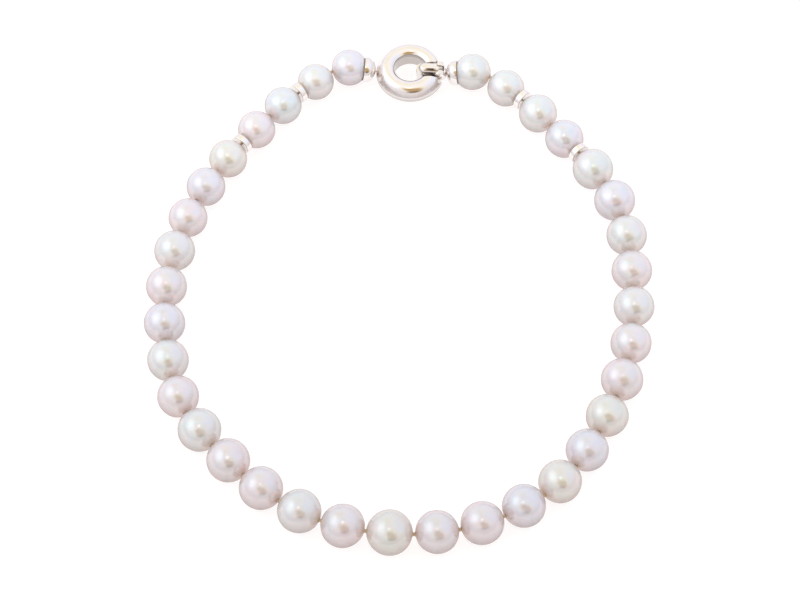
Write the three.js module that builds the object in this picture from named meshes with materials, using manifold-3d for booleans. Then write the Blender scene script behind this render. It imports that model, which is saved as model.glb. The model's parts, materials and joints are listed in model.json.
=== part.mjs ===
// A single strand of round pearls, graduated from the clasp to the front, lying in a loop on a table.
// Four polished rondelles sit between the last pearls on each side. A polished ring clasp closes the
// strand: its ring is soldered to one bead cup, and its hook, with a hinged tongue, to the other.
// Millimetres, +Z up. The origin is on the table, under the middle of the loop's outline.
// The clasp is at the far side (+Y) and the largest pearl at the near side (-Y).

import * as THREE from 'three';
import { mergeVertices } from 'three/addons/utils/BufferGeometryUtils.js';
import Module from 'manifold-3d';

// ---------------------------------------------------------------- driving dimensions

const CLEARANCE = 0.3; // kept between any two pieces that would touch on the real strand

// The pearls, from the ring side of the clasp round the front to the hook side.
const PEARL_RUNS = [
  { count: 2, diameter: 10.2 },
  { count: 3, diameter: 10.5 },
  { count: 2, diameter: 10.7 },
  { count: 5, diameter: 11.1 },
  { count: 5, diameter: 11.5 },
  { count: 1, diameter: 12.0 },
  { count: 4, diameter: 11.4 },
  { count: 3, diameter: 11.3 },
  { count: 4, diameter: 11.0 },
  { count: 2, diameter: 11.3 },
  { count: 2, diameter: 10.7 },
  { count: 2, diameter: 10.4 },
];
const BORE_RADIUS = 0.55;
const THREAD_RADIUS = 0.28;
const RONDELLE_AFTER = [2, 4, 31, 33]; // a rondelle follows each of these pearls

const RONDELLE = { radius: 2.95, rim: 1.7, centre: 1.1, edge: 0.2, bore: 0.6 };

// The line that the strand lies along, anticlockwise from the middle of the clasp.
const LOOP_LINE = [
  [2.8, 72.0], [-14, 72.7], [-24, 67.3], [-39.5, 51.3], [-52.5, 32.5], [-60, 12], [-61.8, -10.5],
  [-57, -33.5], [-44, -51.5], [-25.5, -66.3], [-2.4, -72.6], [21, -69.6], [40.7, -57.8],
  [53.2, -38.7], [60.3, -17], [61.5, 5.5], [58, 27.5], [45, 48.3], [29.3, 65.5], [20, 71.2],
];

// Clasp. Its own frame has the ring's centre at the origin, +X along the strand towards the hook's
// cup, and +Z up; heights are measured from the ring's middle plane.
const CLASP_HEIGHT = 4.1; // the ring's middle plane above the table
const RING = { outer: 9.7, inner: 4.5, half: 2.8 };
const REACH = { ring: 16.9, hook: 17.4 }; // from the ring's centre to the first and the last pearl
const WAIST = { outer: 6.6, top: -0.1, bottom: -1.15 }; // the ring's thin part that the hook holds
const HALF_WIDTH = 1.65; // of the hook and its tongue
const WAIST_GAP = [-3.2, 1.95]; // across the ring, where the hook closes round its waist
const COLLAR_GAP = [-3.2, 2.4]; // and outside the waist, where the collar lies
const JAW = { nose: 1.7, back: 3.8, end: 8.4, top: -1.45, bottom: -2.75, rim: 1.9, wall: 0.4 };
const TONGUE = { nose: 2.4, end: 7.4, bottom: 0.85, top: 3, soft: 1.2, softBelow: 0.5 };
const HINGE = { x: 8.25, z: 1.15, radius: 1.05, pin: 0.42, pinHalf: 2.2, bore: 0.55, knuckle: 0.75 };
const COLLAR = { front: 7.2, shoulder: 8.6, slitEnd: 9.5, outer: 10.1, radius: 2.1, neck: 0.95, cheek: 1.35 };
const CUP = { rim: 3.6, wall: 0.45, straight: 0.8, apex: 7.2, neck: 0.9 };

const AROUND_PEARL = 12; // facets round a pearl's bore
const ALONG_PEARL = 8; // facets from one end of the bore to the other: even, so one edge is the equator
const AROUND_RONDELLE = 12;
const AROUND_RING = 32;
const AROUND_CUP = 16;
const AROUND_PIN = 16;
const AROUND_COLLAR = 16;
const AROUND_THREAD = 5;
const GUIDE_STEPS = 6000;
const BISECTIONS = 40;

// ---------------------------------------------------------------- finishes

const finish = (color, roughness, metalness) =>
  new THREE.MeshStandardMaterial({ color, roughness, metalness });

const nacre = finish(0xdcd6dc, 0.25, 0.0);
const whiteGold = finish(0xd9d5cf, 0.12, 1.0);
const silk = finish(0xe6d3a8, 0.7, 0.0);

// ---------------------------------------------------------------- solids

const wasm = await Module();
wasm.setup();

function toSolid(geometry) {
  const bare = geometry.index ? geometry.toNonIndexed() : geometry.clone();
  bare.deleteAttribute('normal');
  bare.deleteAttribute('uv');
  const merged = mergeVertices(bare, 1e-4);
  return new wasm.Manifold(
    new wasm.Mesh({
      numProp: 3,
      vertProperties: new Float32Array(merged.attributes.position.array),
      triVerts: new Uint32Array(merged.index.array),
    }),
  );
}

function toGeometry(solid) {
  const mesh = solid.getMesh();
  const geometry = new THREE.BufferGeometry();
  geometry.setAttribute('position', new THREE.BufferAttribute(new Float32Array(mesh.vertProperties), 3));
  geometry.setIndex(new THREE.BufferAttribute(new Uint32Array(mesh.triVerts), 1));
  return geometry;
}

const vectors = (pairs) => pairs.map(([x, y]) => new THREE.Vector2(x, y));

// A lathe turned about +Z. The outline is a closed run of [radius, height] corners.
function turned(outline, around) {
  const closed = [...outline, outline[0]];
  return new THREE.LatheGeometry(vectors(closed), around).rotateX(Math.PI / 2);
}

function block(xRange, yRange, zRange) {
  const size = [xRange, yRange, zRange].map(([low, high]) => high - low);
  const middle = [xRange, yRange, zRange].map(([low, high]) => (low + high) / 2);
  return new THREE.BoxGeometry(...size).translate(...middle);
}

// A cylinder along Y through (x, z).
function crossPin(x, z, radius, halfLength, around) {
  return new THREE.CylinderGeometry(radius, radius, 2 * halfLength, around).translate(x, 0, z);
}

// A bar along X whose end at xNose is half round in plan.
function noseBar(xNose, xEnd, halfWidth, [low, high]) {
  const plan = new THREE.Shape();
  plan.moveTo(xEnd, -halfWidth);
  plan.lineTo(xEnd, halfWidth);
  plan.absarc(xNose + halfWidth, 0, halfWidth, Math.PI / 2, (3 * Math.PI) / 2, false);
  plan.closePath();
  return new THREE.ExtrudeGeometry(plan, { depth: high - low, bevelEnabled: false, curveSegments: 10 })
    .translate(0, 0, low);
}

// ---------------------------------------------------------------- where everything lies

const pearlRadii = PEARL_RUNS.flatMap(({ count, diameter }) => Array(count).fill(diameter / 2));

// Clear distance between the surfaces of pearl i and the next one.
function spacing(i) {
  return RONDELLE_AFTER.includes(i + 1) ? RONDELLE.centre + 2 * CLEARANCE : CLEARANCE;
}

// Points along the closed loop line, drawn at a scale, starting at the clasp.
function loopPoints(scale) {
  const corners = LOOP_LINE.map(([x, y]) => new THREE.Vector3(x * scale, y * scale, 0));
  return new THREE.CatmullRomCurve3(corners, true, 'centripetal').getSpacedPoints(GUIDE_STEPS);
}

// The first point after index `from` that is `distance` away from `centre`, at height z.
function nextAlong(points, from, centre, distance, z) {
  let before = null;
  for (let k = from + 1; k < points.length; k += 1) {
    const here = new THREE.Vector3(points[k].x, points[k].y, z);
    const away = here.distanceTo(centre);
    if (before && away >= distance) {
      const part = (distance - before.away) / (away - before.away);
      return { centre: before.here.lerp(here, part), index: k - 1 };
    }
    before = { here, away };
  }
  throw new Error('the loop line is too short for the strand');
}

function layPearls(scale) {
  const points = loopPoints(scale);
  const clasp = new THREE.Vector3(points[0].x, points[0].y, CLASP_HEIGHT);
  const centres = [];
  let last = { centre: clasp, index: 0 };
  let distance = REACH.ring;
  pearlRadii.forEach((radius, i) => {
    last = nextAlong(points, last.index, last.centre, distance, radius);
    centres.push(last.centre);
    distance = radius + spacing(i) + (pearlRadii[i + 1] ?? 0);
  });
  return { clasp, centres };
}

// The loop line is drawn at the one scale at which the last pearl meets the hook's cup.
function layStrand() {
  let [small, large] = [0.97, 1.03];
  for (let n = 0; n < BISECTIONS; n += 1) {
    const middle = (small + large) / 2;
    const { clasp, centres } = layPearls(middle);
    const tooFar = centres.at(-1).distanceTo(clasp) > REACH.hook;
    [small, large] = tooFar ? [small, middle] : [middle, large];
  }
  return layPearls((small + large) / 2);
}

const { clasp: claspCentre, centres: pearlCentres } = layStrand();

// The clasp's frame: +X runs level from the first pearl's side to the last pearl's side.
const claspAcross = pearlCentres.at(-1).clone().sub(pearlCentres[0]).setZ(0).normalize();
const claspFrame = new THREE.Matrix4()
  .makeRotationZ(Math.atan2(claspAcross.y, claspAcross.x))
  .setPosition(claspCentre);
const intoClasp = claspFrame.clone().invert();

// A frame at `origin` whose +Z points along `along` and whose +X points as far down as it can.
function axleFrame(origin, along) {
  const z = along.clone().normalize();
  const y = new THREE.Vector3(0, 0, -1).cross(z).normalize().negate();
  const x = y.clone().cross(z).normalize();
  return new THREE.Matrix4().makeBasis(x, y, z).setPosition(origin);
}

// Each cup points from its pearl to where its neck meets the clasp.
const ringNeck = new THREE.Vector3(-RING.outer, 0, 0).applyMatrix4(claspFrame);
const hookNeck = new THREE.Vector3(COLLAR.outer, 0, 0).applyMatrix4(claspFrame);

// The bore of a pearl runs along the strand there, so its two mouths lie a little outside the straight
// lines from pearl to pearl. `end` is -1 for the mouth that is nearer the ring and 1 for the other.
function boreDirection(i) {
  const before = i === 0 ? ringNeck : pearlCentres[i - 1];
  const after = i === pearlCentres.length - 1 ? hookNeck : pearlCentres[i + 1];
  return after.clone().sub(before).normalize();
}

function boreMouth(i, end) {
  return pearlCentres[i].clone().addScaledVector(boreDirection(i), end * pearlRadii[i]);
}

// ---------------------------------------------------------------- pieces on the thread

function pearlGeometry(radius) {
  const first = Math.asin(BORE_RADIUS / radius);
  const outline = [];
  for (let k = 0; k <= ALONG_PEARL; k += 1) {
    const angle = first + ((Math.PI - 2 * first) * k) / ALONG_PEARL;
    outline.push([radius * Math.sin(angle), -radius * Math.cos(angle)]);
  }
  return turned(outline, AROUND_PEARL);
}

// Both faces are dished, so that the pearls on each side sit a little way into them.
function rondelleGeometry() {
  const { radius, rim, centre, edge, bore } = RONDELLE;
  return turned(
    [
      [bore, -centre / 2],
      [radius - 2 * edge, -rim / 2],
      [radius - edge, -rim / 2],
      [radius, edge - rim / 2],
      [radius, rim / 2 - edge],
      [radius - edge, rim / 2],
      [radius - 2 * edge, rim / 2],
      [bore, centre / 2],
    ],
    AROUND_RONDELLE,
  );
}

// ---------------------------------------------------------------- clasp, in its own frame

// A bead cup with its neck, on an axis from the pearl's centre towards the clasp. The rim's face and
// the inside stay clear of the pearl. The neck runs on to `neckEnd` from the pearl's centre.
function cupGeometry(pearlRadius, neckEnd) {
  const seat = pearlRadius + CLEARANCE;
  const inner = CUP.rim - CUP.wall;
  const rimHeight = Math.sqrt(seat ** 2 - CUP.rim ** 2);
  const innerRimHeight = Math.sqrt(seat ** 2 - inner ** 2);
  const shoulder = rimHeight + CUP.straight;
  const outline = [[inner, innerRimHeight], [CUP.rim, rimHeight]];
  const dome = (radius, endRadius, top, angle) => [
    endRadius + (radius - endRadius) * Math.cos(angle),
    shoulder + (top - shoulder) * Math.sin(angle),
  ];
  const steps = [0, 1, 2, 3, 4].map((k) => (k * Math.PI) / 8);
  steps.forEach((angle) => outline.push(dome(CUP.rim, CUP.neck, CUP.apex, angle)));
  outline.push([CUP.neck, neckEnd], [0, neckEnd]);
  steps.toReversed().forEach((angle) => outline.push(dome(inner, 0, CUP.apex - CUP.wall, angle)));
  return new THREE.LatheGeometry(vectors([...outline, outline[0]]), AROUND_CUP).rotateX(Math.PI / 2);
}

// The cup beside a pearl, in the clasp's frame, with its neck sunk into the metal that it meets.
function cupSolid(i, neck) {
  const sink = 0.5;
  const along = neck.clone().sub(pearlCentres[i]);
  const frame = axleFrame(pearlCentres[i], along);
  const geometry = cupGeometry(pearlRadii[i], along.length() + sink);
  return toSolid(geometry.applyMatrix4(frame).applyMatrix4(intoClasp));
}

// The ring's section: a low dome on top, a soft shoulder and a flank that slopes out to the widest
// point, and the same below. The upper edge of the hole is well rounded and the lower one is not.
function ringSolid() {
  const { outer, inner, half } = RING;
  const flank = [
    [outer - 0.06, 0.45],
    [outer - 0.22, 0.88],
    [outer - 0.67, 1.58],
    [outer - 1.13, 2.02],
    [outer - 1.67, 2.34],
    [outer - 2.27, half - 0.25],
  ];
  const dome = [
    [outer - 3.11, half - 0.06],
    [outer - 3.6, half],
    [inner + 1.15, half - 0.04],
    [inner + 0.75, half - 0.23],
    [inner + 0.35, half - 0.57],
    [inner + 0.1, half - 1],
    [inner, half - 1.5],
  ];
  const floor = [
    [inner, 0.5 - half],
    [inner + 0.3, 0.15 - half],
    [outer - 3.6, 0.05 - half],
  ];
  const below = flank.toReversed().map(([radius, height]) => [radius, -height]);
  const band = turned([...floor, ...below, [outer, 0], ...flank, ...dome], AROUND_RING);
  const far = RING.outer + 1;
  const slots = [
    block([WAIST.outer, far], COLLAR_GAP, [-half - 1, half + 1]),
    block([0, far], WAIST_GAP, [WAIST.top, half + 1]),
    block([0, far], WAIST_GAP, [-half - 1, WAIST.bottom]),
  ];
  return slots.reduce((solid, slot) => solid.subtract(toSolid(slot)), toSolid(band));
}

// The hook: jaw under the ring's waist, nose up through the ring's hole with a rim round the tongue's
// tip, and a round collar that is slit from above. The cheeks beside the slit are round about the
// hinge pin that they carry. All of it is soldered to the cup.
function hookSolid() {
  const jaw = toSolid(noseBar(JAW.nose, JAW.end, HALF_WIDTH, [JAW.bottom, JAW.top]));
  const nose = toSolid(noseBar(JAW.nose, JAW.back, HALF_WIDTH, [JAW.bottom, JAW.rim]));
  const seat = toSolid(
    noseBar(JAW.nose + JAW.wall, JAW.back + 1, HALF_WIDTH + CLEARANCE, [WAIST.top, JAW.rim + 1]),
  );
  const { front, shoulder, slitEnd, outer, radius, neck, cheek } = COLLAR;
  const outline = [[0, front], [radius, front]];
  [0, 1, 2, 3, 4].forEach((k) => {
    const angle = (k * Math.PI) / 8;
    outline.push([
      neck + (radius - neck) * Math.cos(angle),
      shoulder + (outer - shoulder) * Math.sin(angle),
    ]);
  });
  outline.push([0, outer]);
  const barrel = new THREE.LatheGeometry(vectors([...outline, outline[0]]), AROUND_COLLAR);
  const cheeks = toSolid(crossPin(HINGE.x, HINGE.z, cheek, radius, AROUND_PIN));
  const collar = toSolid(barrel.rotateZ(-Math.PI / 2)).add(cheeks);
  const inside = HINGE.knuckle + 0.2;
  const slitFloor = HINGE.z - HINGE.radius - CLEARANCE;
  const slit = toSolid(block([front - 1, slitEnd], [-inside, inside], [slitFloor, radius + 1]));
  const pin = toSolid(crossPin(HINGE.x, HINGE.z, HINGE.pin, HINGE.pinHalf, AROUND_PIN));
  return jaw.add(nose.subtract(seat)).add(collar.subtract(slit)).add(pin);
}

// The tongue: a bar with a round nose and rounded edges. Its root is hollowed to turn about the cheeks
// of the collar, and a knuckle between them holds it on the hinge pin.
function tongueSolid() {
  const { nose, end, bottom, top, soft, softBelow } = TONGUE;
  const bar = toSolid(noseBar(nose, end, HALF_WIDTH, [bottom, top]));
  const outline = new THREE.Shape();
  const quarter = Math.PI / 2;
  outline.absarc(HALF_WIDTH - softBelow, bottom + softBelow, softBelow, -quarter, 0, false);
  outline.absarc(HALF_WIDTH - soft, top - soft, soft, 0, quarter, false);
  outline.absarc(soft - HALF_WIDTH, top - soft, soft, quarter, 2 * quarter, false);
  outline.absarc(softBelow - HALF_WIDTH, bottom + softBelow, softBelow, 2 * quarter, 3 * quarter, false);
  outline.closePath();
  const section = new THREE.ExtrudeGeometry(outline, {
    depth: end - nose,
    bevelEnabled: false,
    curveSegments: 5,
  });
  // The section is drawn across the bar and upwards, and pushed along +X.
  section.applyMatrix4(
    new THREE.Matrix4().makeBasis(
      new THREE.Vector3(0, 1, 0),
      new THREE.Vector3(0, 0, 1),
      new THREE.Vector3(1, 0, 0),
    ),
  ).translate(nose, 0, 0);
  const reach = COLLAR.cheek + CLEARANCE;
  const hollow = toSolid(crossPin(HINGE.x, HINGE.z, reach, HALF_WIDTH + 1, 2 * AROUND_PIN));
  const web = toSolid(
    block([HINGE.x - reach - 0.5, HINGE.x], [-HINGE.knuckle, HINGE.knuckle], [bottom, HINGE.z + HINGE.radius]),
  );
  const knuckle = toSolid(crossPin(HINGE.x, HINGE.z, HINGE.radius, HINGE.knuckle, AROUND_PIN));
  const bore = toSolid(crossPin(HINGE.x, HINGE.z, HINGE.bore, HALF_WIDTH, AROUND_PIN));
  return bar.intersect(toSolid(section)).subtract(hollow).add(web).add(knuckle).subtract(bore);
}

// ---------------------------------------------------------------- thread

// A run of straight stretches between given points, one for each equal step of u.
class StraightRuns extends THREE.Curve {
  constructor(points) {
    super();
    this.points = points;
  }

  getPoint(u, target = new THREE.Vector3()) {
    const place = u * (this.points.length - 1);
    const k = Math.min(Math.floor(place), this.points.length - 2);
    return target.copy(this.points[k]).lerp(this.points[k + 1], place - k);
  }

  getPointAt(u, target) {
    return this.getPoint(u, target);
  }

  getTangentAt(u, target = new THREE.Vector3()) {
    const step = 0.5 / (this.points.length - 1);
    const before = this.getPoint(Math.max(u - step, 0));
    return target.copy(this.getPoint(Math.min(u + step, 1))).sub(before).normalize();
  }
}

// The thread runs down the middle of every bore and bends only at the mouths of the bores.
function threadGeometry() {
  const inCup = CUP.apex - CUP.wall - CLEARANCE;
  const points = pearlCentres.flatMap((_, i) => [boreMouth(i, -1), boreMouth(i, 1)]);
  const tied = (i, neck) => neck.clone().sub(pearlCentres[i]).setLength(inCup).add(pearlCentres[i]);
  points.unshift(tied(0, ringNeck));
  points.push(tied(pearlCentres.length - 1, hookNeck));
  const section = new THREE.Shape();
  for (let k = 0; k < AROUND_THREAD; k += 1) {
    const angle = (2 * Math.PI * k) / AROUND_THREAD;
    const corner = [THREAD_RADIUS * Math.cos(angle), THREAD_RADIUS * Math.sin(angle)];
    if (k === 0) section.moveTo(...corner);
    else section.lineTo(...corner);
  }
  section.closePath();
  return new THREE.ExtrudeGeometry(section, {
    steps: points.length - 1,
    extrudePath: new StraightRuns(points),
  });
}

// ---------------------------------------------------------------- assembly

const necklace = new THREE.Group();
necklace.name = 'pearl_necklace';

function addPiece(name, geometry, material, matrix = new THREE.Matrix4()) {
  const mesh = new THREE.Mesh(geometry, material);
  mesh.name = name;
  mesh.applyMatrix4(matrix);
  necklace.add(mesh);
  return mesh;
}

pearlCentres.forEach((centre, i) => {
  const name = `pearl_${String(i + 1).padStart(2, '0')}`;
  addPiece(name, pearlGeometry(pearlRadii[i]), nacre, axleFrame(centre, boreDirection(i)));
});

RONDELLE_AFTER.forEach((pearl, k) => {
  // It faces both pearls squarely, and is centred on the thread between them.
  const along = pearlCentres[pearl].clone().sub(pearlCentres[pearl - 1]);
  const centre = boreMouth(pearl - 1, 1).lerp(boreMouth(pearl, -1), 0.5);
  addPiece(`rondelle_${k + 1}`, rondelleGeometry(), whiteGold, axleFrame(centre, along));
});

const ringWithCup = ringSolid().add(cupSolid(0, ringNeck));
const hookWithCup = hookSolid().add(cupSolid(pearlCentres.length - 1, hookNeck));
addPiece('clasp_ring', toGeometry(ringWithCup), whiteGold, claspFrame);
addPiece('clasp_hook', toGeometry(hookWithCup), whiteGold, claspFrame);
addPiece('clasp_tongue', toGeometry(tongueSolid()), whiteGold, claspFrame);
addPiece('silk_thread', threadGeometry(), silk);

// The origin goes under the middle of the loop's outline.
necklace.updateMatrixWorld(true);
const outline = new THREE.Box3().setFromObject(necklace, true);
const middle = outline.getCenter(new THREE.Vector3());
necklace.position.set(-middle.x, -middle.y, 0);
necklace.updateMatrixWorld(true);

export default necklace;
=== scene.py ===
# %% [markdown]
# # A single strand pearl necklace
# The strand lies in a loop on a pale table, clasp at the back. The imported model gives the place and
# size of every piece; the cells below give each one its real surface. Lengths are in metres.

# %% Load the frame
import json
import math

import bmesh
import bpy
from mathutils import Matrix, Vector


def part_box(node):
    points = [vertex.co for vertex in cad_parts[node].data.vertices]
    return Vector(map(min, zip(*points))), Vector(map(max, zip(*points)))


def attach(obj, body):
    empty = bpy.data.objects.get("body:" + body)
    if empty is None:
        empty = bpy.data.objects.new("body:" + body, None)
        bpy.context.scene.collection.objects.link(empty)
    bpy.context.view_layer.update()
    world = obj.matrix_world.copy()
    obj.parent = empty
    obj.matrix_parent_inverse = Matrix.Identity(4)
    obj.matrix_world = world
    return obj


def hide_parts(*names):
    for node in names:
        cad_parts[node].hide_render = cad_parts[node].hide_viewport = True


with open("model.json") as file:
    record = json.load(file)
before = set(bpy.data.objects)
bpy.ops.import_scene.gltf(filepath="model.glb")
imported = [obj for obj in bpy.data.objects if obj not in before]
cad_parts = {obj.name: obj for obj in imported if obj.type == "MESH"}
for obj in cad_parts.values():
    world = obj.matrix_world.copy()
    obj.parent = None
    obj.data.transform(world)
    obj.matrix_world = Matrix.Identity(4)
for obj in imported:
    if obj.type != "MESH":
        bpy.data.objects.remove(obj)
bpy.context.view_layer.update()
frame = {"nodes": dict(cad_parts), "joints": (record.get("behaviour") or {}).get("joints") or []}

MM = 0.001

# %% [markdown]
# ## Where the pieces are
# A pearl rests on the table, so half the height of its box is its radius and the middle of its box
# is its centre. The clasp lies level: the hinge of its tongue tells which way it points. Places
# that are read from the model stay right when it changes, where typed ones would not.

# %% Places from the frame
HINGE_X = 8.25 * MM  # from the middle of the clasp's ring to the hinge pin, along the strand
HINGE_Z = 1.15 * MM  # and above the ring's middle plane
COLLAR_END = 10.1 * MM
RING_RADIUS = 9.7 * MM
RONDELLE_AFTER = (2, 4, 31, 33)  # a rondelle follows each of these pearls

PEARLS = sorted(name for name in frame["nodes"] if name.startswith("pearl_"))
RONDELLES = sorted(name for name in frame["nodes"] if name.startswith("rondelle_"))


def middle(node):
    low, high = (Vector(corner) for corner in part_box(node))
    return (low + high) / 2


def pearl_radius(node):
    low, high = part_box(node)
    return (high[2] - low[2]) / 2


hinge = frame["joints"][0]
clasp_turn = math.atan2(-hinge["axis"][0], hinge["axis"][1])
clasp_frame = Matrix.Translation(hinge["pos_m"]) @ Matrix.Rotation(clasp_turn, 4, "Z")
clasp_frame = clasp_frame @ Matrix.Translation((-HINGE_X, 0, -HINGE_Z))
ring_neck = clasp_frame @ Vector((-RING_RADIUS, 0, 0))
hook_neck = clasp_frame @ Vector((COLLAR_END, 0, 0))

centres = [middle(name) for name in PEARLS]
radii = [pearl_radius(name) for name in PEARLS]
stops = [ring_neck, *centres, hook_neck]
bores = [(stops[i + 2] - stops[i]).normalized() for i in range(len(centres))]
print(len(PEARLS), "pearls from", round(2 * min(radii) / MM, 1), "to",
      round(2 * max(radii) / MM, 1), "mm")


def bore_mouth(number, end):
    """Where the thread leaves a pearl: end is -1 towards the one before, 1 towards the next."""
    return centres[number] + bores[number] * radii[number] * end


def axle_matrix(centre, along, scale=1.0):
    """A frame with Z along the thread and X pointing as far down as it can."""
    z = along.normalized()
    y = z.cross(Vector((0, 0, -1))).normalized()
    turn = Matrix((y.cross(z), y, z)).transposed().to_4x4()
    return Matrix.Translation(centre) @ turn @ Matrix.Scale(scale, 4)


# %% [markdown]
# ## Modelling helpers
# An operator acts on everything that is selected, so each piece starts with nothing else selected.
# Parts of a mesh are chosen by where they are, as the eye would choose them.

# %% Helpers for modelling
TINY = 1e-6  # places nearer to each other than this count as the same


def select_only(*pieces):
    """Selects these pieces and nothing else. The last one becomes the active one."""
    bpy.ops.object.select_all(action="DESELECT")
    for piece in pieces:
        piece.select_set(True)
    bpy.context.view_layer.objects.active = pieces[-1]


def add(operator, name, **options):
    """Adds a primitive on its own and returns its object."""
    bpy.ops.object.select_all(action="DESELECT")
    operator(**options)
    piece = bpy.context.active_object
    piece.name = piece.data.name = name
    return piece


def edit(piece):
    select_only(piece)
    bpy.ops.object.mode_set(mode="EDIT")


def done():
    bpy.ops.object.mode_set(mode="OBJECT")


def choose(piece, kind, test):
    """In edit mode, selects the vertices, edges or faces that pass a test."""
    bpy.ops.mesh.select_mode(type=kind)
    bpy.ops.mesh.select_all(action="DESELECT")
    mesh = bmesh.from_edit_mesh(piece.data)
    for part in {"VERT": mesh.verts, "EDGE": mesh.edges, "FACE": mesh.faces}[kind]:
        if test(part):
            part.select_set(True)
    mesh.select_flush_mode()
    bmesh.update_edit_mesh(piece.data)


def is_level(edge):
    return abs(edge.verts[0].co.z - edge.verts[1].co.z) < TINY


def out_from_axis(vertex):
    """How far a vertex is from the Z axis."""
    return Vector(vertex.co[:2]).length


# %% Helpers for finishing a piece
def modify(piece, kind, **settings):
    """Adds a modifier, applies it and so makes its shape part of the mesh."""
    select_only(piece)
    modifier = piece.modifiers.new(kind.title(), kind)
    for name, value in settings.items():
        setattr(modifier, name, value)
    bpy.ops.object.modifier_apply(modifier=modifier.name)


def ease_edges(piece, width, segments=3, angle=50):
    """Rounds every edge that is sharper than an angle in degrees."""
    modify(piece, "BEVEL", limit_method="ANGLE", angle_limit=math.radians(angle),
           width=width, segments=segments)


def place(piece, matrix):
    """Moves a piece to its place and keeps the place in its mesh, its object at the origin."""
    piece.matrix_world = matrix @ piece.matrix_basis
    select_only(piece)
    bpy.ops.object.transform_apply(location=True, rotation=True, scale=True)


def copy_of(piece, name):
    twin = piece.copy()
    twin.data = piece.data.copy()
    twin.name = twin.data.name = name
    bpy.context.collection.objects.link(twin)
    return twin


def smooth(piece, angle=35):
    select_only(piece)
    bpy.ops.object.shade_smooth_by_angle(angle=math.radians(angle))


def paint(piece, name, values, kind="FLOAT", field="value"):
    """Keeps a value for each vertex of a piece, which its material reads as an attribute."""
    layer = piece.data.attributes.new(name, kind, "POINT")
    layer.data.foreach_set(field, values)


# %% [markdown]
# ## Shader maths
# A small class wraps a socket, so that the patterns below read as sums. Every other node comes from
# the one method `node`; the short methods after it only save typing.

# %% Sums of sockets
class Socket:
    """One output of a node. Sums with it add Math nodes."""

    def __init__(self, finish, socket):
        self.finish = finish
        self.socket = socket

    def maths(self, operation, *values):
        settings = {"operation": operation}
        return self.finish.node("ShaderNodeMath", settings, dict(enumerate(values)))

    def __add__(self, other):
        return self.maths("ADD", self, other)

    def __radd__(self, other):
        return self.maths("ADD", other, self)

    def __sub__(self, other):
        return self.maths("SUBTRACT", self, other)

    def __rsub__(self, other):
        return self.maths("SUBTRACT", other, self)

    def __mul__(self, other):
        return self.maths("MULTIPLY", self, other)

    def __rmul__(self, other):
        return self.maths("MULTIPLY", other, self)

    def sine(self):
        return self.maths("SINE", self)

    def is_positive(self):
        return self.maths("GREATER_THAN", self, 0)


# %% A material and its nodes
class Finish:
    """A material and the nodes that make it."""

    def __init__(self, name):
        self.material = bpy.data.materials.new(name)
        self.material.use_nodes = True
        self.tree = self.material.node_tree
        self.tree.nodes.clear()

    @classmethod
    def of_tree(cls, tree):
        """For nodes in a tree that isn't a material's."""
        finish = cls.__new__(cls)
        finish.tree = tree
        tree.nodes.clear()
        return finish

    def node(self, kind, settings=None, inputs=None, output=0):
        """Adds a node, sets it up, fills its sockets with values or links; returns an output."""
        node = self.tree.nodes.new(kind)
        for name, value in (settings or {}).items():
            if name == "stops":
                self.fill_ramp(node.color_ramp, value)
            else:
                setattr(node, name, value)
        for name, value in (inputs or {}).items():
            if isinstance(value, Socket):
                self.tree.links.new(value.socket, node.inputs[name])
            else:
                node.inputs[name].default_value = value
        return Socket(self, node.outputs[output]) if node.outputs else None

    @staticmethod
    def fill_ramp(ramp, stops):
        while len(ramp.elements) < len(stops):
            ramp.elements.new(1.0)
        for element, (position, value) in zip(ramp.elements, stops):
            element.position = position
            element.color = (*value, 1)

    def ramp(self, factor, *stops):
        """A colour that changes along a factor, from stop to stop."""
        return self.node("ShaderNodeValToRGB", {"stops": stops}, {"Fac": factor})

    def mix(self, factor, first, second, blend="MIX"):
        settings = {"data_type": "RGBA", "blend_type": blend}
        return self.node("ShaderNodeMix", settings, {0: factor, 6: first, 7: second}, 2)

    def position(self):
        """Object coordinates, which are the frame's own, because each object is at the origin."""
        return self.node("ShaderNodeTexCoord", output=3)

    def number(self, name):
        """A number painted on the piece."""
        return self.node("ShaderNodeAttribute", {"attribute_name": name}, output=2)

    def colour(self, name):
        """A colour painted on the piece."""
        return self.node("ShaderNodeAttribute", {"attribute_name": name}, output=0)

    def noise(self, where, scale, detail=2.0, rough=0.5):
        inputs = {"Vector": where, "Scale": scale, "Detail": detail, "Roughness": rough}
        return self.node("ShaderNodeTexNoise", {}, inputs)

    def bump(self, height, strength, distance):
        inputs = {"Strength": strength, "Distance": distance, "Height": height}
        return self.node("ShaderNodeBump", {}, inputs)

    def surface(self, **inputs):
        """The main shader, wired to the output. Underscores stand for spaces in its sockets."""
        named = {name.replace("_", " "): value for name, value in inputs.items()}
        shader = self.node("ShaderNodeBsdfPrincipled", {}, named)
        self.node("ShaderNodeOutputMaterial", {}, {"Surface": shader})
        print(self.material.name, "has", len(self.tree.nodes), "nodes")
        return self.material
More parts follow.
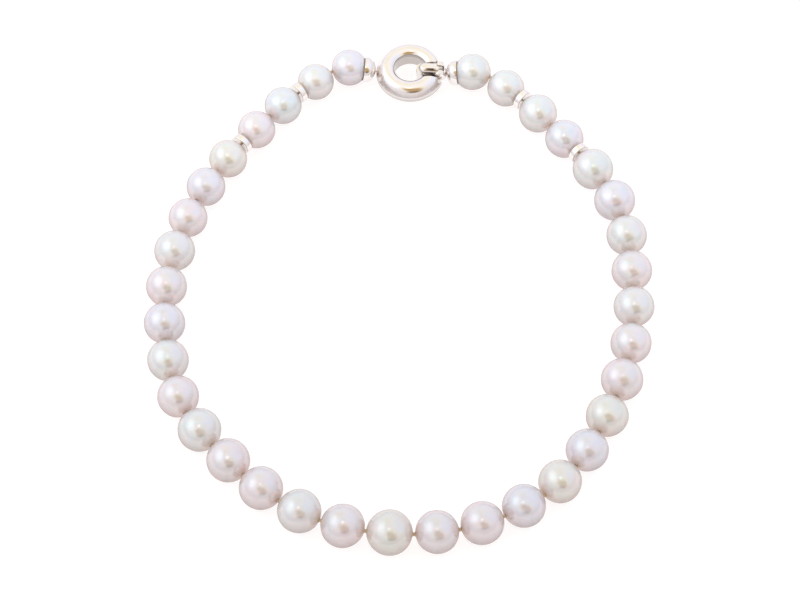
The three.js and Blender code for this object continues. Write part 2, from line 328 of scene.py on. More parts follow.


# %% [markdown]
# ## Nacre
# Nacre is many thin clear layers over a white core. Light sinks in, spreads and comes out again, so
# a pearl is soft and deep rather than hard and white, and faint pink, blue and lavender overtones
# change from pearl to pearl. A clear film over a white body would look like painted glass. So the
# body itself has depth (subsurface) and takes the pearl's own overtone. Painted shade makes each
# pearl darker and pinker from its top to its foot, and the front pearls a little darker than the
# back ones. A thin coat adds the highlight, and fine growth rings run round the bore. A weak warm
# glow painted round the mouths of the bore stands for the light that neighbours pass to each other.

# %% Nacre material
CLOUD_TINTS = (
    (0.32, (0.95, 0.98, 0.97)), (0.5, (1.0, 1.0, 1.0)), (0.68, (1.0, 0.97, 0.985)),
)
# Painted shade: each pearl darker and pinker towards its foot, lightest near its top.
PAINTED_SHADE_FOOT_TO_TOP = (
    (0.2, (0.65, 0.58, 0.56)), (0.47, (0.72, 0.66, 0.645)), (0.66, (0.85, 0.80, 0.79)),
    (0.76, (0.92, 0.89, 0.89)), (0.88, (1.0, 0.995, 1.0)), (1.0, (0.97, 0.985, 1.01)),
)
MOUTH_GLOW = ((0.45, (0.25, 0.19, 0.175)), (0.95, (1.0, 0.72, 0.56)))
GROWTH_RINGS = 46.0  # radians of a sine, from the middle of a pearl to the end of its bore
RING_WOBBLE = 9.0


def make_nacre():
    finish = Finish("nacre")
    where = finish.position()
    along = finish.number("along_bore")
    clouds = finish.noise(where, 160.0)
    drift = finish.ramp(clouds, *CLOUD_TINTS)
    colour = finish.mix(1.0, finish.colour("overtone"), drift, "MULTIPLY")
    # Painted shade from each pearl's top to its foot.
    height_on_pearl = finish.number("upward") * 0.5 + 0.5
    colour = finish.mix(1.0, colour, finish.ramp(height_on_pearl, *PAINTED_SHADE_FOOT_TO_TOP), "MULTIPLY")
    wobble = finish.noise(where, 300.0, 3.0)
    rings = ((along * GROWTH_RINGS) + (wobble * RING_WOBBLE)).sine()
    grain = finish.noise(where, 2600.0, 3.0, 0.6)
    waves = finish.noise(where, 420.0, 1.0)
    relief = rings * 0.10 + grain * 0.14 + waves * 1.6
    return finish.surface(
        Base_Color=colour,
        Roughness=clouds * 0.10 + grain * 0.04 + 0.09,
        Metallic=0.45,
        IOR=1.38,
        Normal=finish.bump(relief, 0.07, 0.0004),
        Coat_Weight=0.12,
        Coat_Roughness=0.12,
        Coat_IOR=1.5,
        Specular_Tint=(0.50, 0.38, 0.36, 1),
        Subsurface_Weight=1.0,
        Subsurface_Scale=0.004,
        Subsurface_Radius=(1.0, 0.62, 0.5),
        Emission_Color=finish.ramp(along * along, *MOUTH_GLOW),
        Emission_Strength=0.16,
    )


nacre = make_nacre()

# %% [markdown]
# ## Pearls
# A strung pearl is a ball with a hole drilled right through. The hole could be cut with a Boolean,
# but that leaves long thin faces round its mouth. So the poles of a sphere are removed and the two
# openings are bridged through the middle, which keeps the mesh even. Each pearl is a copy of this
# one ball at its own size, turned so that its hole follows the thread, and pressed very slightly
# out of round.

# %% The drilled ball
BALL_RINGS = 40
BORE_PART = 0.1  # the hole's radius as a part of the pearl's
MOUTH_ROUNDING = 0.012


def is_mouth(edge):
    """Whether an edge lies where the hole meets the skin of the ball."""
    first, second = edge.verts
    on_ring = round(first.co.z, 4) == round(second.co.z, 4) and abs(first.co.z) > 0.99
    return on_ring and out_from_axis(first) < BORE_PART * 1.05


ball = add(
    bpy.ops.mesh.primitive_uv_sphere_add, "drilled_ball",
    segments=72, ring_count=BALL_RINGS, radius=1,
)
edit(ball)
choose(ball, "VERT", lambda v: abs(v.co.z) > 0.9999)
bpy.ops.mesh.delete(type="VERT")
choose(ball, "EDGE", lambda e: e.is_boundary)
opening_radius = math.sin(math.pi / BALL_RINGS)
bpy.ops.transform.resize(value=(BORE_PART / opening_radius, BORE_PART / opening_radius, 1))
bpy.ops.mesh.bridge_edge_loops()
choose(ball, "EDGE", is_mouth)
bpy.ops.mesh.bevel(offset=MOUTH_ROUNDING, segments=2)
bpy.ops.mesh.select_all(action="SELECT")
bpy.ops.mesh.normals_make_consistent(inside=False)
done()
smooth(ball, 50)
print("one pearl has", len(ball.data.polygons), "faces")

# %% Overtones and the strand of pearls
OVERTONES = {
    "silver": (0.742, 0.780, 0.799),
    "rose": (0.770, 0.756, 0.794),
    "cream": (0.761, 0.777, 0.764),
    "lavender": (0.742, 0.759, 0.824),
    "blue": (0.723, 0.782, 0.824),
}
STRAND = (
    "lavender silver blue rose cream lavender rose silver rose lavender "
    "silver rose silver rose rose silver rose cream rose rose "
    "lavender cream lavender cream rose rose silver rose silver lavender "
    "silver lavender silver silver silver"
).split()
PAINTED_LIGHT_TO_BACK = 1.07  # per metre: painted shade, the front pearls a little darker and the back ones paler
DENT_SPACING = 7 * MM
DENT_DEPTH = 0.25 * MM
dents = bpy.data.textures.new("soft_dents", "CLOUDS")
dents.noise_scale = DENT_SPACING
for name, centre, radius, bore, overtone in zip(PEARLS, centres, radii, bores, STRAND):
    pearl = copy_of(ball, "nacre_" + name)
    # Painted shade: each pearl's overtone is darkened a little the nearer it lies to the front.
    tint = Vector(OVERTONES[overtone]) * (1.0 + PAINTED_LIGHT_TO_BACK * centre.y)
    paint(pearl, "along_bore", [v.co.z for v in pearl.data.vertices])
    paint(pearl, "overtone", [*tint, 1] * len(pearl.data.vertices), "FLOAT_COLOR", "color")
    place(pearl, axle_matrix(centre, bore, radius))
    paint(pearl, "upward", [(v.co.z - centre.z) / radius for v in pearl.data.vertices])
    modify(pearl, "DISPLACE", texture=dents, texture_coords="GLOBAL",
           mid_level=0.9, strength=DENT_DEPTH)
    pearl.data.materials.append(nacre)
    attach(pearl, "strand")
    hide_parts(name)
bpy.data.objects.remove(ball)
print("strung", len(STRAND), "pearls")

# %% [markdown]
# ## White gold
# The clasp and the rondelles are polished white gold. Polished metal has almost no colour of its
# own: it shows the room, a little warmer than it is. One even gloss would look drawn rather than
# worn. So noise at two scales feeds the roughness and a very weak bump, for very fine scratches and
# a slow change of gloss from handling. Painted shade darkens the gold in the slot, on the wall of
# the hole, at the ring's foot and in the tongue's nick, where little light reaches.

# %% White gold material
# Painted shade: the dark brown that is mixed into the gold where little light reaches.
PAINTED_SHADE_COLOUR = (0.16, 0.11, 0.08, 1)


def make_white_gold(name, colour, gloss, speckle):
    finish = Finish(name)
    where = finish.position()
    handled = finish.noise(where, 350.0)
    scratches = finish.noise(where, 5200.0, 2.0, 0.6)
    tint = finish.ramp(handled, (0.3, tuple(0.96 * part for part in colour)), (0.7, colour))
    return finish.surface(
        # Painted shade darkens the base colour where a piece asks for it.
        Base_Color=finish.mix(finish.number("dull"), tint, PAINTED_SHADE_COLOUR),
        Metallic=1.0,
        Roughness=handled * 0.05 + scratches * 0.04 + gloss,
        Normal=finish.bump(scratches + handled * 2.0, speckle, 0.00005),
    )


clasp_gold = make_white_gold("clasp_white_gold", (0.885, 0.84, 0.825), gloss=0.10, speckle=0.10)
rondelle_gold = make_white_gold("rondelle_white_gold", (0.90, 0.86, 0.84), gloss=0.12, speckle=0.35)


def dress(piece, finish, slot, body, *nodes):
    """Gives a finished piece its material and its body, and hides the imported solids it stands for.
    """
    piece.data.materials.clear()
    piece.data.materials.append(finish)
    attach(piece, body)
    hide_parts(*nodes)


# %% [markdown]
# ## Rondelles
# Four rondelles space the last pearls on each side of the clasp. Each is a polished band with a
# dished face on both sides, so the pearls sit a little way into it. It could be spun from its
# section, as the ring below is, but a cylinder is quicker, because its steps are few: the end faces
# are inset for the rim, inset again and pushed in for the dish, and bridged for the hole.

# %% The rondelle
RONDELLE_RADIUS = 2.95 * MM
RONDELLE_WIDTH = 1.7 * MM
RIM_WIDTH = 0.32 * MM
DISH_STEPS = ((0.5, 0.14), (0.7, 0.12), (0.83, 0.05))  # inwards and down, in millimetres


def on_outer_rim(edge):
    return all(out_from_axis(v) > RONDELLE_RADIUS * 0.99 for v in edge.verts)


def on_inner_rim(edge):
    return all(2.5 * MM < out_from_axis(v) < 2.7 * MM for v in edge.verts)


rondelle = add(
    bpy.ops.mesh.primitive_cylinder_add, "rondelle",
    vertices=64, radius=RONDELLE_RADIUS, depth=RONDELLE_WIDTH,
)
edit(rondelle)
choose(rondelle, "FACE", lambda f: abs(f.normal.z) > 0.9)
bpy.ops.mesh.inset(thickness=RIM_WIDTH)
for inwards, down in DISH_STEPS:
    bpy.ops.mesh.inset(thickness=inwards * MM, depth=-down * MM)
bpy.ops.mesh.bridge_edge_loops()
choose(rondelle, "EDGE", lambda e: on_outer_rim(e) and is_level(e))
bpy.ops.mesh.bevel(offset=0.16 * MM, segments=3)
choose(rondelle, "EDGE", lambda e: on_inner_rim(e) and is_level(e))
bpy.ops.mesh.bevel(offset=0.06 * MM, segments=2)
done()
smooth(rondelle)

# %% The four rondelles
for name in RONDELLES:
    number = RONDELLE_AFTER[int(name[-1]) - 1]
    along = centres[number] - centres[number - 1]
    meeting = (bore_mouth(number - 1, 1) + bore_mouth(number, -1)) / 2
    band = copy_of(rondelle, "band_" + name)
    place(band, axle_matrix(meeting, along))
    dress(band, rondelle_gold, "rondelle_metal", "strand", name)
print(len(RONDELLES), "rondelles of", len(rondelle.data.polygons), "faces each")
bpy.data.objects.remove(rondelle)

# %% [markdown]
# ## The clasp's ring
# The ring is a heavy band. Its top is a low dome, its shoulder is soft, and its flank slopes out to
# the widest point; the underside is flatter. A torus would be too round, so half the work is in the
# section: a flat ten-cornered shape, whose corners are moved to their places and rounded by
# different amounts, is spun about the ring's axis. The hook closes round a thinner part of the
# ring, which is sawn out with three cuts.

# %% Tools for sections and cuts
def drawn_section(name, corners):
    """A flat shape in the XZ plane with rounded corners, in edit mode, to be spun about Z."""
    section = add(
        bpy.ops.mesh.primitive_circle_add, name, vertices=len(corners), radius=MM,
        fill_type="NGON", rotation=(math.pi / 2, 0, 0),
    )
    bpy.ops.object.transform_apply(rotation=True)
    starts = [vertex.co.copy() for vertex in section.data.vertices]
    edit(section)
    for number, (x, z, _) in enumerate(corners):
        choose(section, "VERT", lambda v: v.index == number)
        bpy.ops.transform.translate(value=Vector((x * MM, 0, z * MM)) - starts[number])
    for x, z, rounding in corners:
        choose(section, "VERT", lambda v: (v.co - Vector((x * MM, 0, z * MM))).length < TINY)
        bpy.ops.mesh.bevel(offset=rounding * MM, segments=9, affect="VERTICES")
    return section


def spin_round(piece, steps):
    bpy.ops.mesh.select_all(action="SELECT")
    bpy.ops.mesh.delete(type="ONLY_FACE")
    bpy.ops.mesh.select_all(action="SELECT")
    bpy.ops.mesh.spin(steps=steps, angle=2 * math.pi, center=(0, 0, 0), axis=(0, 0, 1))
    bpy.ops.mesh.select_all(action="SELECT")
    bpy.ops.mesh.remove_doubles(threshold=TINY)
    bpy.ops.mesh.normals_make_consistent(inside=False)
    done()


def block(name, low, high):
    """A box between two corners, in edit mode."""
    box = add(bpy.ops.mesh.primitive_cube_add, name, size=1)
    edit(box)
    bpy.ops.transform.resize(value=[b - a for a, b in zip(low, high)])
    bpy.ops.transform.translate(value=[(a + b) / 2 for a, b in zip(low, high)])
    return box


def carve(piece, tool, operation="DIFFERENCE"):
    """Takes a tool's shape away from a piece or adds it, and throws the tool away."""
    modify(piece, "BOOLEAN", operation=operation, solver="EXACT", object=tool)
    bpy.data.objects.remove(tool)


def cut(piece, low, high):
    """Saws a box between two corners out of a piece."""
    saw = block("saw", low, high)
    done()
    carve(piece, saw)


# %% The ring
RING_CORNERS = (  # out from the axis, up from the middle plane, and how far the rounding reaches
    (9.75, -0.5, 0.9),
    (8.4, 1.9, 0.6),
    (7.25, 2.75, 0.6),
    (6.0, 2.85, 0.5),
    (5.1, 2.5, 0.2),
    (4.5, 2.0, 0.2),
    (4.5, 0.9, 0.1),
    (4.5, -2.6, 0.3),
    (6.0, -2.85, 1.05),
    (8.75, -2.25, 1.35),
)
CLEAR = 3 * MM  # further up or down than any part of the clasp
OUTSIDE = RING_RADIUS + 1 * MM
SLOT_SIDE = -3.2 * MM  # one side of the cuts, which are wider on this side than on the other
WAIST_SIDE = 1.74 * MM  # the other side, where the hook closes round the ring
WAIST_TOP, WAIST_BOTTOM = -0.1 * MM, -1.15 * MM
COLLAR_START, COLLAR_SIDE = 7.05 * MM, 2.14 * MM  # and where the collar lies


def ring_painted_shade(spot):
    """How much painted shade darkens the gold at a spot: dark in the slot, grey in the hole and at
    the foot.
    """
    out = Vector(spot[:2]).length
    in_slot = 4 * MM < spot.x < 8.2 * MM and abs(spot.y + 0.7 * MM) < 2.55 * MM
    if in_slot and spot.z < 1.6 * MM:
        return 1.0
    if out > 8.4 * MM and spot.z < 0.6 * MM:
        return 0.04 + min(0.6 - spot.z / MM, 1.5) * 0.26
    if out < 4.6 * MM and spot.z < 2.0 * MM:
        return 0.6 if spot.z > 0.95 * MM else 0.4
    return 0.0


ring = drawn_section("clasp_ring_band", RING_CORNERS)
spin_round(ring, 192)
cut(ring, (COLLAR_START, SLOT_SIDE, -CLEAR), (OUTSIDE, COLLAR_SIDE, CLEAR))
cut(ring, (0, SLOT_SIDE, WAIST_TOP), (OUTSIDE, WAIST_SIDE, CLEAR))
cut(ring, (0, SLOT_SIDE, -CLEAR), (OUTSIDE, WAIST_SIDE, WAIST_BOTTOM))
ease_edges(ring, 0.12 * MM, segments=2)
smooth(ring, 30)
# Painted shade: black in the slot, grey on the wall of the hole and at the ring's foot.
paint(ring, "dull", [ring_painted_shade(vertex.co) for vertex in ring.data.vertices])
place(ring, clasp_frame)
dress(ring, clasp_gold, "clasp_metal", "strand", "clasp_ring")
print("ring:", len(ring.data.polygons), "faces")

# %% [markdown]
# ## The hook
# The hook lies under the ring and comes up through its hole, where its nose ends in a thin rim
# round the tip of the tongue. At the outer side it ends in a round collar that is slit from above,
# and the two cheeks beside the slit are round about the pin that they carry. It could be drawn out
# of one box by extrusions, but its parts are round about different axes. So each is made as a
# simple solid of its own, and Booleans join them. A copy of the tongue's plan, a little wider, is
# sunk into the nose to leave the rim.

# %% Tools for the hook and the tongue
def cross_pin(name, radius, half_length, segments=48):
    """A cylinder across the clasp, on the hinge's axis."""
    return add(
        bpy.ops.mesh.primitive_cylinder_add, name, vertices=segments, radius=radius,
        depth=2 * half_length, location=(HINGE_X, 0, HINGE_Z), rotation=(math.pi / 2, 0, 0),
    )


def draw_out(low, high, wide, narrow, steps, axis):
    """Draws the selected rim or face out along an axis, narrowing as a quarter of an ellipse."""
    at, width = low, wide
    for step in range(1, steps + 1):
        angle = math.pi / 2 * step / steps
        new_at = low + (high - low) * math.sin(angle)
        new_width = narrow + (wide - narrow) * math.cos(angle)
        bpy.ops.mesh.extrude_region_move(TRANSFORM_OT_translate={"value": axis * (new_at - at)})
        factor = new_width / width
        bpy.ops.transform.resize(value=[1 if part else factor for part in axis])
        at, width = new_at, new_width


def nose_bar(name, low, high, edges=()):
    """A bar, half round at its end in the ring's hole, with some of its long rims rounded."""
    bar = block(name, low, high)

    def at_tip(edge):
        across = abs(edge.verts[0].co.y - edge.verts[1].co.y) > TINY
        return not across and all(abs(v.co.x - low[0]) < TINY for v in edge.verts)

    def at_root(edge):
        return all(abs(v.co.x - high[0]) < TINY for v in edge.verts)

    choose(bar, "EDGE", at_tip)
    bpy.ops.mesh.bevel(offset=high[1] * 0.99, segments=12)
    for height, rounding in edges:
        choose(bar, "EDGE", lambda e: all(abs(v.co.z - height) < TINY for v in e.verts)
               and not at_root(e))
        bpy.ops.mesh.bevel(offset=rounding, segments=8)
    done()
    return bar


# %% The hook's bar and nose
HALF_WIDTH = 1.65 * MM  # of the hook and of its tongue
JOINT = 0.06 * MM  # the play between the tongue and what it closes against
JAW_NOSE, JAW_BACK, JAW_END = 1.7 * MM, 3.8 * MM, 8.4 * MM
JAW_LOW, JAW_HIGH = -2.75 * MM, -1.45 * MM
JAW_ROUNDING = 0.5 * MM
RIM_TOP = 1.9 * MM
TONGUE_NOSE = 2.4 * MM

hook = nose_bar("clasp_hook_body", (JAW_NOSE, -HALF_WIDTH, JAW_LOW),
                (JAW_END, HALF_WIDTH, JAW_HIGH), [(JAW_LOW, JAW_ROUNDING)])
nose = nose_bar("nose", (JAW_NOSE, -HALF_WIDTH, JAW_LOW),
                (JAW_BACK, HALF_WIDTH, RIM_TOP), [(JAW_LOW, JAW_ROUNDING)])
seat_half = HALF_WIDTH + JOINT
seat = nose_bar("seat", (TONGUE_NOSE - JOINT, -seat_half, WAIST_TOP),
                (JAW_BACK + MM, seat_half, CLEAR))
carve(nose, seat)
carve(hook, nose, "UNION")
print("bar and nose:", len(hook.data.polygons), "faces")

# %% The hook's collar and pin
COLLAR_FRONT, COLLAR_SHOULDER = 7.2 * MM, 8.6 * MM
COLLAR_RADIUS, COLLAR_NECK = 2.1 * MM, 0.95 * MM
SLIT_FLOOR, SLIT_END = -0.2 * MM, 9.38 * MM
CHEEK_RADIUS = 1.35 * MM
KNUCKLE_RADIUS, KNUCKLE_HALF = 1.05 * MM, 0.75 * MM
SLIT_HALF = KNUCKLE_HALF + 0.08 * MM
PIN_RADIUS, PIN_HALF = 0.42 * MM, 2.2 * MM

collar = add(
    bpy.ops.mesh.primitive_cylinder_add, "collar", vertices=64, radius=COLLAR_RADIUS,
    depth=COLLAR_SHOULDER - COLLAR_FRONT, rotation=(0, math.pi / 2, 0),
    location=((COLLAR_FRONT + COLLAR_SHOULDER) / 2, 0, 0),
)
bpy.ops.object.transform_apply(location=True, rotation=True)
edit(collar)
choose(collar, "FACE", lambda f: f.normal.x > 0.9)
draw_out(COLLAR_SHOULDER, COLLAR_END, COLLAR_RADIUS, COLLAR_NECK, 8, Vector((1, 0, 0)))
done()
carve(collar, cross_pin("cheeks", CHEEK_RADIUS, COLLAR_RADIUS, 64), "UNION")
cut(collar, (COLLAR_FRONT - MM, -SLIT_HALF, SLIT_FLOOR), (SLIT_END, SLIT_HALF, CLEAR))
carve(hook, collar, "UNION")
ease_edges(hook, 0.14 * MM)

pin = cross_pin("clasp_hinge_pin", PIN_RADIUS, PIN_HALF, 32)
ease_edges(pin, 0.1 * MM)
for piece in (hook, pin):
    smooth(piece, 30)
    place(piece, clasp_frame)
    dress(piece, clasp_gold, "clasp_metal", "strand", "clasp_hook")
print("hook:", len(hook.data.polygons), "faces")

# %% [markdown]
# ## The tongue
# The tongue closes the hook from above and swings up on the pin to let it open. It is a short bar
# with a rounded nose and rounded shoulders, like the end of a finger. Its root has to turn about
# the cheeks of the collar with hardly a gap, which is hard to shape by eye. So it is hollowed with
# a cylinder about the pin itself, a hair wider than the cheeks. Last, a thin slanted cylinder is
# taken out of its back: the nick by which a fingernail lifts it.

# %% The tongue
TONGUE_END = 7.4 * MM
TONGUE_LOW, TONGUE_HIGH = 0.85 * MM, 3.0 * MM
TONGUE_EDGES = [(TONGUE_HIGH, 1.2 * MM), (TONGUE_LOW, 0.5 * MM)]
PIN_HOLE = 0.55 * MM
WEB_START = HINGE_X - CHEEK_RADIUS - 0.6 * MM  # the web joins the bar to its knuckle

tongue = nose_bar("clasp_tongue_bar", (TONGUE_NOSE, -HALF_WIDTH, TONGUE_LOW),
                  (TONGUE_END, HALF_WIDTH, TONGUE_HIGH), TONGUE_EDGES)
carve(tongue, cross_pin("hollow", CHEEK_RADIUS + JOINT, HALF_WIDTH + MM, 96))
web = block("web", (WEB_START, -KNUCKLE_HALF, TONGUE_LOW),
            (HINGE_X, KNUCKLE_HALF, HINGE_Z + KNUCKLE_RADIUS))
done()
carve(tongue, web, "UNION")
carve(tongue, cross_pin("knuckle", KNUCKLE_RADIUS, KNUCKLE_HALF), "UNION")
carve(tongue, cross_pin("pin_hole", PIN_HOLE, HALF_WIDTH))
ease_edges(tongue, 0.12 * MM)
print("tongue:", len(tongue.data.polygons), "faces")

# %% The nick for a fingernail
NICK_RADIUS = 0.27 * MM
NICK_START, NICK_END = Vector((4.6, -1.05, 3.17)) * MM, Vector((6.4, -0.95, 2.72)) * MM
nick_along = NICK_END - NICK_START


def in_nick(spot):
    return (spot - NICK_START).cross(nick_along.normalized()).length < NICK_RADIUS * 1.03


nick = add(
    bpy.ops.mesh.primitive_cylinder_add, "nail_nick",
    vertices=32, radius=NICK_RADIUS, depth=nick_along.length,
    location=(NICK_START + NICK_END) / 2, rotation=nick_along.to_track_quat("Z", "Y").to_euler(),
)
carve(tongue, nick)
smooth(tongue, 30)
# Painted shade: the nick is painted dark.
paint(tongue, "dull", [float(in_nick(vertex.co)) for vertex in tongue.data.vertices])
place(tongue, clasp_frame)
dress(tongue, clasp_gold, "clasp_metal", "tongue", "clasp_tongue")
print("tongue with its nick:", len(tongue.data.polygons), "faces")

# %% [markdown]
# ## Bead cups
# A cup of thin metal caps the first and the last pearl and hides the silk's end knot. Half a ball
# would bulge too much, because the cup is straight at its rim and pointed at its neck. So each is
# drawn out of a short tube: the edge towards the clasp is extruded and narrowed in steps along a
# quarter of an ellipse, then run on as a neck. A Solidify modifier gives it its wall.

# %% The cups
CUP_RIM = 3.6 * MM
CUP_STRAIGHT = 0.8 * MM
CUP_APEX = 7.2 * MM
CUP_WALL = 0.45 * MM
CUP_OFF_PEARL = 0.3 * MM
NECK_RADIUS = 0.9 * MM
NECK_OVERLAP = 0.5 * MM  # how far the neck runs into the ring or the collar
CUP_STEPS = 9


def bead_cup(name, centre, radius, neck, node):
    along = neck - centre
    rim_height = math.sqrt((radius + CUP_OFF_PEARL) ** 2 - CUP_RIM**2)
    shoulder = rim_height + CUP_STRAIGHT
    cup = add(
        bpy.ops.mesh.primitive_cylinder_add, name, vertices=96, radius=CUP_RIM,
        depth=CUP_STRAIGHT, end_fill_type="NOTHING",
        location=(0, 0, rim_height + CUP_STRAIGHT / 2),
    )
    bpy.ops.object.transform_apply(location=True)
    edit(cup)
    choose(cup, "EDGE", lambda e: all(v.co.z > shoulder - TINY for v in e.verts))
    draw_out(shoulder, CUP_APEX, CUP_RIM, NECK_RADIUS, CUP_STEPS, Vector((0, 0, 1)))
    neck_move = (0, 0, along.length + NECK_OVERLAP - CUP_APEX)
    bpy.ops.mesh.extrude_region_move(TRANSFORM_OT_translate={"value": neck_move})
    bpy.ops.mesh.select_all(action="SELECT")
    bpy.ops.mesh.normals_make_consistent(inside=False)
    done()
    modify(cup, "SOLIDIFY", thickness=CUP_WALL, offset=-1)
    ease_edges(cup, 0.09 * MM, angle=55)
    smooth(cup, 40)
    place(cup, axle_matrix(centre, along))
    dress(cup, clasp_gold, "clasp_metal", "strand", node)
    return cup


ring_cup = bead_cup("clasp_ring_cup", centres[0], radii[0], ring_neck, "clasp_ring")
hook_cup = bead_cup("clasp_hook_cup", centres[-1], radii[-1], hook_neck, "clasp_hook")
print("cups:", len(ring_cup.data.polygons) + len(hook_cup.data.polygons), "faces")

# %% [markdown]
# ## Silk
# The pearls are strung on cream silk and knotted between, so that they neither rub nor scatter if
# the thread breaks. Only the knots show, as small warm dots between the pearls. Each turn of the
# knots could be modelled, but it is too small to see. So the thread is a curve with a round
# section, turned into a mesh, each knot is a small ball pressed to its gap, and fine noise stands
# for the fibres.

# %% Silk material
def make_silk():
    finish = Finish("cream_silk")
    fibres = finish.noise(finish.position(), 4000.0, 4.0, 0.7)
    return finish.surface(
        Base_Color=finish.ramp(fibres, (0.3, (0.55, 0.38, 0.20)), (0.7, (0.86, 0.70, 0.46))),
        Roughness=0.65,
        Normal=finish.bump(fibres, 0.6, 0.0001),
        Sheen_Weight=0.3,
    )


silk = make_silk()

# %% The thread
THREAD_RADIUS = 0.28 * MM
THREAD_END = 6.45 * MM  # from the middle of the first and the last pearl, inside their cups

route = [centres[0] + (ring_neck - centres[0]).normalized() * THREAD_END]
for number in range(len(centres)):
    route += [bore_mouth(number, -1), bore_mouth(number, 1)]
route.append(centres[-1] + (hook_neck - centres[-1]).normalized() * THREAD_END)
line = bpy.data.curves.new("silk_thread_visual", "CURVE")
line.dimensions = "3D"
line.bevel_depth = THREAD_RADIUS
line.bevel_resolution = 3
line.use_fill_caps = True
spline = line.splines.new("POLY")
spline.points.add(len(route) - 1)
for point, spot in zip(spline.points, route):
    point.co = (*spot, 1)
thread = bpy.data.objects.new("silk_thread_and_knots", line)
bpy.context.collection.objects.link(thread)
select_only(thread)
bpy.ops.object.convert(target="MESH")
thread = bpy.context.active_object
print("thread:", len(route), "points")

# %% The knots
KNOT_RADIUS = 0.5 * MM
KNOT_PRESS = Matrix.Diagonal((1, 1, 0.8, 1))

knots = []
for number in range(len(centres) - 1):
    if number + 1 in RONDELLE_AFTER:
        continue
    start, end = bore_mouth(number, 1), bore_mouth(number + 1, -1)
    knot = add(
        bpy.ops.mesh.primitive_ico_sphere_add, "knot", subdivisions=3, radius=KNOT_RADIUS
    )
    place(knot, axle_matrix((start + end) / 2, end - start) @ KNOT_PRESS)
    knots.append(knot)
select_only(*knots, thread)
bpy.ops.object.join()
smooth(thread, 60)
dress(thread, silk, "silk", "strand", "silk_thread")
print("silk:", len(knots), "knots")

# %% [markdown]
# ## Table and camera
# The strand lies on a plain pale acrylic sheet that is lit from below as well, so that it stays
# white and takes only a faint shadow: the sheet's own emission does this. The camera looks down
# with a long lens from well away, so the loop keeps its true proportions.

# %% Table
SHEET_GAP = 0.02 * MM  # below the pearls, so that no face of theirs lies in it

table_top = add(
    bpy.ops.mesh.primitive_plane_add, "table", size=6, location=(0, 0, -SHEET_GAP)
)
acrylic = Finish("lit_acrylic").surface(
    Base_Color=(0.36, 0.355, 0.36, 1),
    Roughness=0.9,
    Emission_Color=(1, 0.995, 0.995, 1),
    Emission_Strength=0.77,
)
table_top.data.materials.append(acrylic)
print("table:", SHEET_GAP / MM, "mm below the pearls")

# %% Camera
DISTANCE = 0.7994
ELEVATION = math.radians(58.07)
AIM = Vector((0.13 * MM, -1.56 * MM, 0))
lens = bpy.data.cameras.new("camera")
lens.lens = 135
lens.sensor_width = 36
lens.clip_end = 20
camera = bpy.data.objects.new("camera", lens)
camera.location = AIM + DISTANCE * Vector((0, -math.cos(ELEVATION), math.sin(ELEVATION)))
camera.rotation_euler = (math.pi / 2 - ELEVATION, 0, 0)
bpy.context.collection.objects.link(camera)
bpy.context.scene.camera = camera
print("camera", DISTANCE, "m away,", round(math.degrees(ELEVATION), 2), "degrees up")

# %% [markdown]
# ## Light
# Pearls and polished metal show the room, so the room is most of their look. They stand in a light
# tent: white all round, brighter above, with a soft box on the left and a small warm lamp overhead.
# Lamps alone would leave hard dots and black between them. So the tent itself is painted with soft
# oblongs: a bright window on the left, a cooler one on the right, and in front a warm surround with
# the dark opening and a darker edge under it, which give each pearl its eye.

# %% Lamps
def soft_box(name, direction, distance, size, power, colour=(1, 1, 1)):
    """A square area lamp that faces the strand from a direction."""
    lamp = bpy.data.lights.new(name, "AREA")
    lamp.size = size
    lamp.energy = power
    lamp.color = colour
    box = bpy.data.objects.new(name, lamp)
    aim = Vector(direction).normalized()
    box.location = aim * distance
    box.rotation_euler = aim.to_track_quat("Z", "Y").to_euler()
    bpy.context.collection.objects.link(box)
    print(name, power, "W")


soft_box("soft_box_left", (-0.683, 0.01, 0.729), distance=1.2, size=0.60, power=0.12)
soft_box("lamp_overhead", (-0.04, -0.195, 0.98), distance=1.4, size=0.22, power=0.20,
         colour=(1, 0.86, 0.62))

# %% Tools for painting the tent
BLACK, WHITE = (0, 0, 0), (1, 1, 1)
world = bpy.data.worlds.new("light_tent")
bpy.context.scene.world = world
world.use_nodes = True
tent = Finish.of_tree(world.node_tree)
toward = tent.node("ShaderNodeTexCoord")


def facing(direction):
    """How nearly a ray points in a direction: 1 straight at it, -1 straight away."""
    inputs = {0: toward, 1: Vector(direction).normalized()}
    return tent.node("ShaderNodeVectorMath", {"operation": "DOT_PRODUCT"}, inputs, 1)


def patch(direction, width, depth, tilt=0.0, soft=0.45):
    """A soft-edged oblong about a direction: 1 in its middle, 0 outside. Sizes in radians."""
    aim = Vector(direction).normalized()
    right = Matrix.Rotation(tilt, 3, aim) @ aim.cross(Vector((0, 0, 1))).normalized()
    across, along = facing(right), facing(right.cross(aim))
    far = across * across * (1 / width**2) + along * along * (1 / depth**2)
    return tent.ramp(far, (soft, WHITE), (1.0, BLACK)) * facing(aim).is_positive()


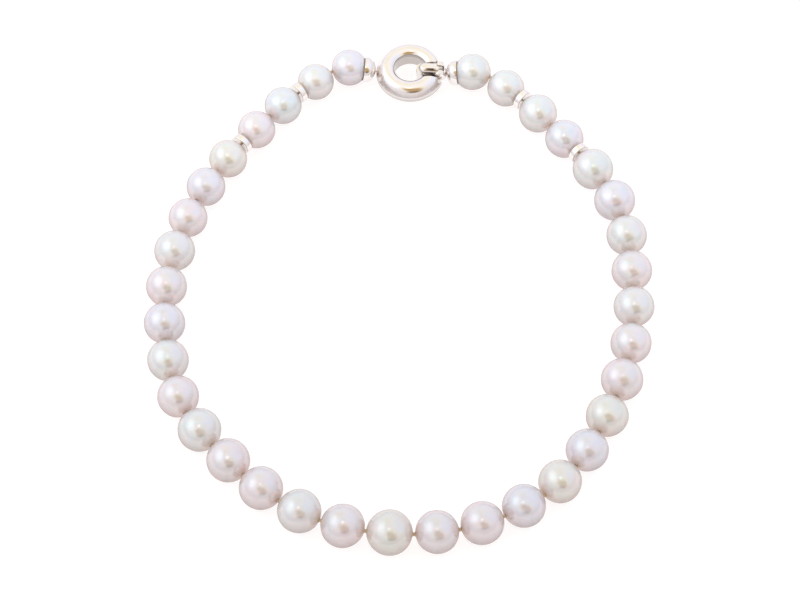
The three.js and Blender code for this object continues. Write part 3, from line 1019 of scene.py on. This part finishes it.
# %% The tent's walls and roof
up = facing((0, 0, 1)) * 0.5 + 0.5
back = facing((-0.35, 1, 0)) * 0.5 + 0.5
low_walls = tent.ramp(
    back, (0.0, (0.90, 0.85, 0.84)), (0.5, (0.84, 0.83, 0.87)), (1.0, (0.87, 0.80, 0.84))
)
walls = tent.ramp(
    back, (0.0, (0.84, 0.81, 0.79)), (0.5, (0.92, 0.93, 1.0)), (1.0, (1.08, 1.10, 1.19))
)
above_table = tent.ramp(up, (0.50, BLACK), (0.68, WHITE))
near_roof = tent.ramp(up, (0.66, BLACK), (0.94, WHITE))
lamp_glow = tent.ramp(facing((-0.25, 0.53, 0.83)), (0.86, BLACK), (0.98, (0.7, 0.7, 0.7)))
cloth = tent.mix(above_table, low_walls, walls)
cloth = tent.mix(near_roof, cloth, (1.14, 1.11, 1.08, 1))
cloth = tent.mix(lamp_glow, cloth, (1.08, 1.02, 0.76, 1))
print("walls and roof:", len(world.node_tree.nodes), "nodes")

# %% Its windows and its opening
left_window = patch((-0.67, 0.06, 0.74), width=0.60, depth=0.46, soft=0.0)
right_window = patch((0.73, 0.11, 0.67), width=0.60, depth=0.50, soft=0.0) * 0.8
surround = patch((0.14, -0.56, 0.82), width=0.62, depth=0.50, soft=0.1) * 0.9
opening = patch((0.16, -0.68, 0.72), width=0.54, depth=0.35, tilt=-0.7)
front_edge = patch((0.14, -0.87, 0.47), width=0.36, depth=0.15) * 0.85
cloth = tent.mix(left_window, cloth, (1.52, 1.62, 1.66, 1))
cloth = tent.mix(right_window, cloth, (0.96, 1.05, 1.26, 1))
cloth = tent.mix(surround, cloth, (1.10, 0.98, 0.68, 1))
cloth = tent.mix(opening, cloth, (0.57, 0.39, 0.19, 1))
cloth = tent.mix(front_edge, cloth, (0.16, 0.10, 0.06, 1))
light = tent.node("ShaderNodeBackground", {}, {"Color": cloth, "Strength": 1.0})
tent.node("ShaderNodeOutputWorld", {}, {"Surface": light})
bpy.context.scene.view_settings.view_transform = "Standard"
print("whole tent:", len(world.node_tree.nodes), "nodes")
